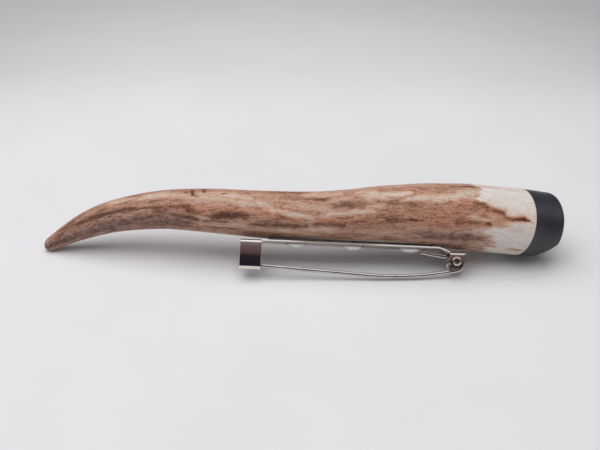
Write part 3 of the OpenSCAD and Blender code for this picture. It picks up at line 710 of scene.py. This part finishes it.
def make_fitting():
    """The stamped bar: the solid's own faces, merged, with softly rounded sheared edges."""
    merge, level, corner = 0.002 * MM, math.radians(0.4), math.radians(34)
    work = bmesh.new()
    work.from_mesh(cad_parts["back_bar"].data)
    bmesh.ops.remove_doubles(work, verts=work.verts, dist=merge)
    bmesh.ops.dissolve_limit(work, angle_limit=level, verts=work.verts, edges=work.edges)
    mesh = bpy.data.meshes.new("bar_fitting")
    work.to_mesh(mesh)
    work.free()
    mesh.polygons.foreach_set("use_smooth", np.ones(len(mesh.polygons), bool))
    mesh.set_sharp_from_angle(angle=corner)
    piece = bpy.data.objects.new("bar_fitting", mesh)
    bpy.context.scene.collection.objects.link(piece)
    rounded = piece.modifiers.new("rounded", "BEVEL")
    rounded.limit_method, rounded.angle_limit = "ANGLE", corner
    rounded.width, rounded.segments, rounded.harden_normals = EDGE_ROUND * MM, 4, True
    # The rounded edges take the second material
    rounded.material = 1
    mesh.materials.clear()
    mesh.materials.append(metal_paint("nickel_plate", (0.80, 0.76, 0.74), (0.70, 0.65, 0.63),
                                      (0.05, 0.12), (300, 5200, 5200), sheared=True))
    mesh.materials.append(metal_paint("sheared_edge", (0.80, 0.74, 0.71), (0.68, 0.60, 0.56),
                                      (0.30, 0.44), (1500, 1500, 1500), sheared=True))
    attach(piece, "brooch")
    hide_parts("back_bar")


def make_rivet():
    """The hollow rivet, turned: bore, flared mouths and rims rolled over the two ears. Its
    profile is a closed loop, so the rings join round and no pole is needed."""
    roll_r, rim_y = (RIM_D - MOUTH_D) / 4, BAR_W / 2 + JOINT_GAP
    flare_t, sides = 0.5, 96
    b = np.radians(np.linspace(0, 180, 17))
    rim_r = RIM_D / 2 - roll_r * (1 - np.cos(b))
    rim_t = rim_y + roll_r * np.sin(b)
    k = np.linspace(0, 1, 8)[1:]
    flare = np.stack([MOUTH_D / 2 + (RIVET_BORE - MOUTH_D) / 2 * np.sqrt(k),
                      rim_y - flare_t * k], -1)
    rim = np.concatenate([[[RIVET_D / 2, rim_y]], np.stack([rim_r, rim_t], -1), flare])
    profile = np.concatenate([rim, rim[::-1] * [1, -1]])
    rings = turned(profile, sides)
    count = len(profile)
    i, k = np.meshgrid(np.arange(count), np.arange(sides), indexing="ij")
    j, n = (i + 1) % count, (k + 1) % sides
    faces = np.stack([i * sides + k, i * sides + n, j * sides + n, j * sides + k], -1)
    vertices = turn(rings.reshape(-1, 3), "z", 90) + [EAR_X, 0, RIVET_Z]
    make_piece("hinge_rivet_tube", laid_down(vertices), faces.reshape(-1, 4).tolist(),
               "brooch", ["hinge_rivet"],
               metal_paint("rivet_plate", (0.74, 0.70, 0.64), (0.60, 0.54, 0.47),
                           (0.14, 0.26), (2600, 900, 2600)), 60)


def arc(centre, r, start, end, count, y):
    """Points on an arc at a height y over the XZ plane, from one angle to another:
    (centre x + r cos v, y, centre z + r sin v)."""
    v = np.radians(np.linspace(start, end, count))
    return np.stack([centre[0] + r * np.cos(v), y + 0 * v, centre[1] + r * np.sin(v)], -1)


def wire_path():
    """The bent wire about the coil's centre: spring tail, one turn of coil, crossing half
    turn with y = -pitch/2 sin(angle), second turn, long bow and straight to the point."""
    leave, tail_a = -90 + LEAVE_SLOPE, 90 - TAIL_SLOPE
    tail_rise = -SHEET_T - TAIL_GAP - WIRE_R - COIL_Z - COIL_R * math.sin(math.radians(tail_a))
    sweep = 2 * (math.degrees(math.asin(tail_rise / TAIL_LEN)) - TAIL_SLOPE)
    tail_r = TAIL_LEN / (2 * math.sin(math.radians(sweep / 2)))
    ta, le = math.radians(tail_a), math.radians(leave)
    tail_c = ((COIL_R + tail_r) * math.cos(ta), (COIL_R + tail_r) * math.sin(ta))
    bow_c = np.array([(COIL_R - BOW_R) * math.cos(le), (COIL_R - BOW_R) * math.sin(le)])
    hook = np.array([CATCH_END - EAR_X,
                     -CATCH_DEPTH + SHEET_T + CATCH_GAP + WIRE_R - COIL_Z]) - bow_c
    bow_end = math.degrees(math.atan2(hook[1], hook[0]) + math.acos(BOW_R / np.hypot(*hook)))
    rise = math.radians(-90 - bow_end)
    be = math.radians(bow_end)
    start = bow_c + BOW_R * np.array([math.cos(be), math.sin(be)])
    length = (start[0] + EAR_X + BAR_END - POINT_IN) / math.cos(rise)
    half = COIL_PITCH / 2
    v = np.radians(np.linspace(270, 90, 45))
    crossing = np.stack([COIL_R * np.cos(v), -half * np.sin(v), COIL_R * np.sin(v)], -1)
    run = np.concatenate([np.linspace(0, length - POINT_LEN, 60)[1:],
                          length - POINT_LEN * (1 - np.linspace(0, 1, 40)[1:] ** 0.8)])
    straight = np.stack([start[0] - run * math.cos(rise), -half + 0 * run,
                         start[1] + run * math.sin(rise)], -1)
    path = np.concatenate([
        arc(tail_c, tail_r, 180 + tail_a - sweep, 180 + tail_a, 24, half),
        arc((0, 0), COIL_R, tail_a, -90, 44, half)[1:],
        crossing[1:],
        arc((0, 0), COIL_R, 90, leave, 44, -half)[1:],
        arc(bow_c, BOW_R, leave, bow_end, 60, -half)[1:],
        straight])
    left = np.linalg.norm(path - path[-1], axis=1)
    radius = np.where(left < POINT_LEN, POINT_R + (WIRE_R - POINT_R) * left / POINT_LEN, WIRE_R)
    blunt = np.sqrt(np.clip(1 - (1 - left / POINT_BLUNT) ** 2, 0.05, 1))
    return path, np.where(left < POINT_BLUNT, radius * blunt, radius) - WIRE_IN


def make_wire():
    """The wire pin, turned about the hinge's upright so that it meets the hook's middle."""
    path, radius = wire_path()
    hook_y = -BAR_W / 2 + HOOK_R
    turned_by = math.degrees(math.atan((-hook_y - COIL_PITCH / 2)
                                       / (EAR_X + BAR_END - CATCH_W / 2)))
    vertices, faces = ring_skin(carried(path, radius, 36))
    vertices = turn(vertices, "z", turned_by) + [EAR_X, 0, COIL_Z]
    make_piece("pin", laid_down(vertices), faces, "pin", ["pin_wire"],
               metal_paint("spring_wire", (0.66, 0.62, 0.61), (0.52, 0.46, 0.44),
                           (0.12, 0.24), (160, 7000, 7000)), 60)


# Glue

def bead_surface(seed, lobes, wide):
    """A bead on the bar's underside: a stem through the hole, a foot and a dome whose
    outline is 1 + the sum of size cos k(a - phase) over its lobes, scaled to its width, and
    whose height falls as (1 - q^2)^0.6 with the share q of the outline."""
    sides = 120
    a = 2 * np.pi * np.arange(sides) / sides
    outline = np.ones(sides)
    for k, size, phase in lobes:
        outline += size * np.cos(k * (a - math.radians(phase)))
    outline *= wide / outline.max()
    q = np.sin(np.linspace(0, np.pi / 2, 30))[:, None]
    degrees = np.degrees(a)[None] - 180 + 0 * q
    ripple = streaks(q * 6 + 0 * degrees, degrees, 2.0, 7, seed, 2)
    height = BEAD_H * (1 - q ** 2) ** 0.6 * (1 - 0.10 * (1 + ripple) * q)
    dome_r = BEAD_D / 2 * outline * q
    stem_r = HOLE_D / 2 - JOINT_GAP - STEM_IN
    stem = np.array([[0.5, 1.0], [1.0, 1.0], [1.0, 0.0]])
    under = SHEET_T + 2 * JOINT_GAP
    rim = [0.0, 0.0, 0.0, 1.0, 1.0] + list(q[:0:-1, 0])
    rings = [np.stack([stem_r * share * np.cos(a), stem_r * share * np.sin(a),
                       under * lift + 0 * a], -1) for share, lift in stem]
    for share in (0.35, 0.7):
        r = stem_r * (1 - share) + BEAD_D / 2 * outline * share
        rings.append(np.stack([r * np.cos(a), r * np.sin(a), 0 * a], -1))
    dome = np.stack([dome_r * np.cos(a), dome_r * np.sin(a), -height], -1)
    rim = np.append(np.repeat(rim, sides), [0.0, 0.0])
    return np.concatenate([np.array(rings), dome[:0:-1]]), rim


def make_beads():
    """Three beads of one material, each with its own outline, and the glue line, painted near
    black as painted shade in the gap.
    """
    material = glue_paint("bead_glue", (0.86, 0.87, 0.86), (0.96, 0.96, 0.96))
    looks = [
        (91, [(2, 0.07, 0), (3, 0.04, 80), (5, 0.02, 10)], 1.0),
        (92, [(2, 0.05, 10), (3, 0.03, 10), (4, 0.03, 50)], 0.97),
        (93, [(2, 0.07, 0), (3, 0.03, 40), (5, 0.03, 70)], 1.0),
    ]
    pitch = (BAR_LEN - 2 * HOLE_IN) / 2
    for i, (seed, lobes, wide) in enumerate(looks):
        rings, rim = bead_surface(seed, lobes, wide)
        vertices, faces = ring_skin(rings[:, ::-1])
        vertices = vertices + [-BAR_END + HOLE_IN + i * pitch, 0, -SHEET_T - JOINT_GAP]
        bead = make_piece(f"bead_{i + 1}", laid_down(vertices), faces, "brooch",
                          [f"glue_bead_{i + 1}"], material, 60)
        lay_attribute(bead, "rim", "FLOAT", rim)
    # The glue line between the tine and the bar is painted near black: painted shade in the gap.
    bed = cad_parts["glue_bed"]
    bed.data.materials.clear()
    bed.data.materials.append(glue_paint("bed_glue_painted_shade", (0.055, 0.045, 0.040),
                                         (0.11, 0.095, 0.085)))


# Floor, light, camera

def make_stage():
    """A pale floor that curves up into a backdrop: a quarter circle far behind. Its colour is
    painted darker towards the sides and the back: painted shade for a small studio's light
    fall-off."""
    reach, curve_from, curve_r, high = 20000.0, 420.0, 260.0, 2000.0
    back_from, back_to, side_from, side_to = 70, 110, 70, 190
    b = np.linspace(0, np.pi / 2, 24)
    y = np.concatenate([[-reach, curve_from - 5], curve_from + curve_r * np.sin(b),
                        [curve_from + curve_r]])
    z = np.concatenate([[0, 0], curve_r * (1 - np.cos(b)), [high]])
    x = np.array([-reach, reach])
    X, Y = np.meshgrid(x, y, indexing="ij")
    Z = np.broadcast_to(z, X.shape)
    vertices = np.stack([X, Y, Z], -1).reshape(-1, 3)
    n = len(y)
    k = np.arange(n - 1)
    faces = np.stack([k, k + n, k + n + 1, k + 1], -1).tolist()
    mesh = bpy.data.meshes.new("floor")
    mesh.from_pydata((vertices * MM).tolist(), [], faces)
    mesh.polygons.foreach_set("use_smooth", np.ones(len(mesh.polygons), bool))
    p = Paint("floor")
    paper = p.noise(p.place((40, 40, 40)), 3, 0.5)
    tone = p.mix(p.span(paper, 0.3, 0.7), (0.675, 0.672, 0.690), (0.690, 0.688, 0.700))
    far = p.node("ShaderNodeSeparateXYZ", {0: p.place((1, 1, 0))}).outputs
    # Painted shade: the floor's colour darker towards the back
    behind = p.span(far[1], back_from * MM, back_to * MM)
    tone = p.mix(behind, tone, p.mix(1.0, tone, (0.92, 0.92, 0.92), "MULTIPLY"))
    # Painted shade: the floor's colour darker towards the sides
    aside = p.node("ShaderNodeVectorMath", {0: p.place((1, 0.8, 0))},
                   operation="LENGTH").outputs["Value"]
    tone = p.mix(p.span(aside, side_from * MM, side_to * MM), tone,
                 p.mix(1.0, tone, (0.70, 0.70, 0.70), "MULTIPLY"))
    mesh.materials.append(p.set(Base_Color=tone, Roughness=0.85, Specular_IOR_Level=0.2))
    floor = bpy.data.objects.new("floor", mesh)
    bpy.context.scene.collection.objects.link(floor)


def soft_box(name, place, size, power):
    """A rectangular area light at a place in mm, facing the middle of the object. It lights
    the object without showing in its bright metal."""
    light = bpy.data.lights.new(name, "AREA")
    light.shape, light.size, light.size_y = "RECTANGLE", size[0] * MM, size[1] * MM
    light.energy = power
    lamp = bpy.data.objects.new(name, light)
    lamp.location = np.array(place) * MM
    lamp.rotation_euler = (-Vector(place)).to_track_quat("-Z", "Y").to_euler()
    lamp.visible_glossy = False
    bpy.context.scene.collection.objects.link(lamp)


def make_world():
    """Even fill light. Polished surfaces see a bright ceiling and back and a dark room in
    front of the object, read off a ramp at 0.85 y + z of the way they look."""
    back_share, fill, strength = 0.85, (0.335, 0.33, 0.335, 1), 1.25
    world = bpy.data.worlds.new("studio")
    world.use_nodes = True
    tree = world.node_tree
    shade = tree.nodes["Background"]
    way = tree.nodes.new("ShaderNodeSeparateXYZ")
    tree.links.new(tree.nodes.new("ShaderNodeTexCoord").outputs["Generated"], way.inputs[0])
    lean = tree.nodes.new("ShaderNodeMath")
    lean.operation = "MULTIPLY_ADD"
    lean.inputs[1].default_value = back_share
    tree.links.new(way.outputs[1], lean.inputs[0])
    tree.links.new(way.outputs[2], lean.inputs[2])
    mirror = tree.nodes.new("ShaderNodeValToRGB")
    tree.links.new(lean.outputs[0], mirror.inputs[0])
    fill_ramp(mirror, [
        (0.000, (0.014, 0.012, 0.017)), (0.050, (0.018, 0.014, 0.019)),
        (0.085, (0.080, 0.048, 0.046)), (0.200, (0.125, 0.082, 0.080)),
        (0.420, (0.520, 0.500, 0.500)), (0.750, (1.0, 1.0, 1.0))])
    path = tree.nodes.new("ShaderNodeLightPath")
    seen = tree.nodes.new("ShaderNodeMix")
    seen.data_type = "RGBA"
    tree.links.new(path.outputs["Is Glossy Ray"], seen.inputs[0])
    seen.inputs[6].default_value = fill
    tree.links.new(mirror.outputs[0], seen.inputs[7])
    tree.links.new(seen.outputs[2], shade.inputs["Color"])
    shade.inputs["Strength"].default_value = strength
    bpy.context.scene.world = world


def make_light():
    """A broad lamp above the object, a weak one from its left, and the room."""
    soft_box("above", (-60, 10, 430), (560, 460), 2.14)
    soft_box("left", (-420, 40, 240), (220, 220), 0.12)
    make_world()


def make_camera():
    """The photo's viewer: 32 degrees above the floor, straight in front. The plain view
    transform keeps the pale tones apart."""
    data = bpy.data.cameras.new("viewer")
    data.lens, data.sensor_width = 50, 36
    data.clip_start, data.clip_end = 0.005, 10
    eye, looks_down = (0.348, -143.547, 97.380), 32
    camera = bpy.data.objects.new("viewer", data)
    camera.location = np.array(eye) * MM
    camera.rotation_euler = (math.radians(90 - looks_down), 0, 0)
    bpy.context.scene.collection.objects.link(camera)
    bpy.context.scene.camera = camera
    bpy.context.scene.view_settings.view_transform = "Standard"


make_tine()
make_cap()
make_fitting()
make_rivet()
make_wire()
make_beads()
make_stage()
make_light()
make_camera()
